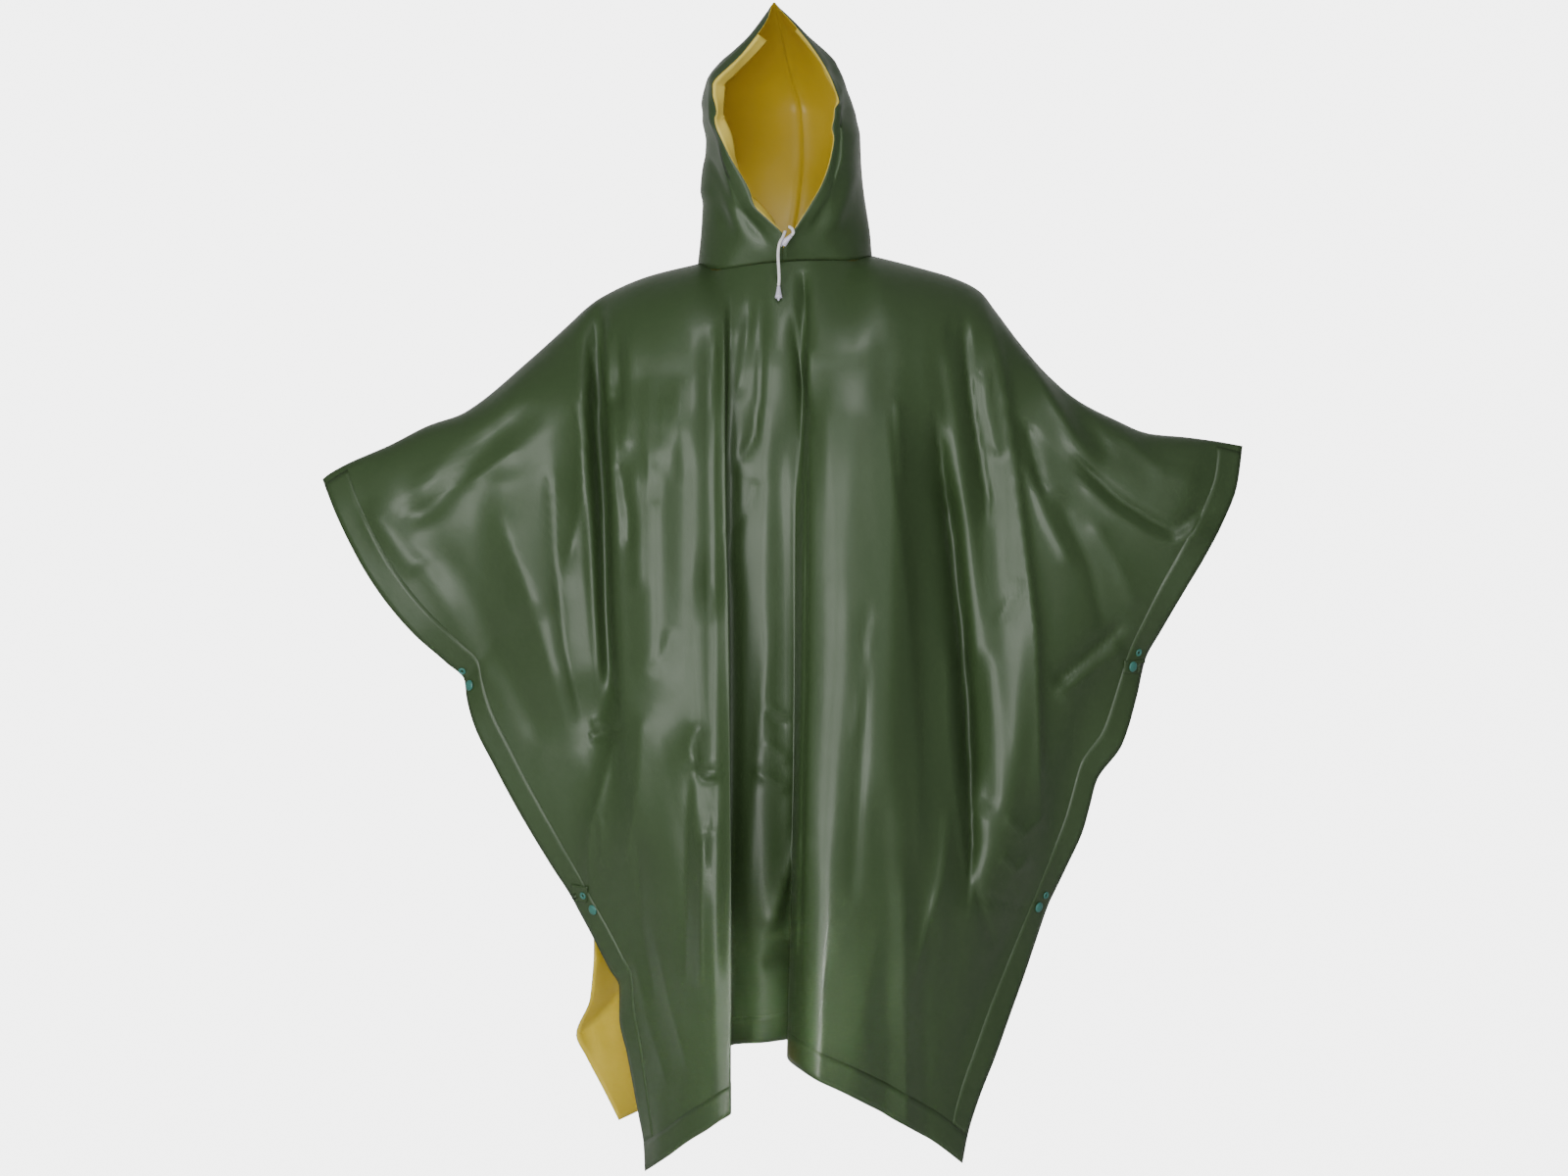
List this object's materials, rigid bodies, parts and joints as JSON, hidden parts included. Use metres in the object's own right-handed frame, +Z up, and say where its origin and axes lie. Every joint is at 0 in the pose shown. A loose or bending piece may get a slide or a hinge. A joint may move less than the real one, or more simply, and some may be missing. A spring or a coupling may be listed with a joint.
{
  "type": "rain poncho",
  "caption": "Hooded rain poncho of thin two-colour film, hanging as worn in deep folds, with welded hems, side snaps and a hood drawstring.",
  "frame": {"origin": "the middle of the neck hole, level with the neck seam, where the wearer holds the poncho up", "axes": "+Z up, the front faces -Y, +X towards the viewer's right when seen from the front"},
  "size_m": [1.1644, 0.4315, 1.44],
  "materials": {
    "film": "semi-gloss film, green outside",
    "film_inside": "semi-gloss film, yellow inside",
    "snap": "moulded, semi-gloss",
    "cord": "braided cord",
    "cord_tip": "moulded, glossy"
  },
  "bodies": {
    "root": {"front_panel": "film", "back_panel": "film", "hood_left": "film", "hood_right": "film", "hood_tunnel_left": "film_inside", "hood_tunnel_right": "film_inside", "front_hem_band": "film", "back_hem_band": "film", "front_side_band_left": "film", "front_side_band_right": "film", "back_side_band_left": "film", "back_side_band_right": "film", "snap_patch_lower_left": "film", "snap_patch_upper_right": "film", "snap_cap_upper_left": "snap", "snap_cap_lower_left": "snap", "snap_cap_upper_right": "snap", "snap_cap_lower_right": "snap", "snap_ring_upper_left": "snap", "snap_ring_lower_left": "snap", "snap_ring_upper_right": "snap", "snap_ring_lower_right": "snap", "snap_back_upper_left": "snap", "snap_back_lower_left": "snap", "snap_back_upper_right": "snap", "snap_back_lower_right": "snap", "drawstring": "cord", "drawstring_short_end": "cord", "drawstring_tip": "cord_tip", "drawstring_short_tip": "cord_tip"}
  },
  "joints": []
}
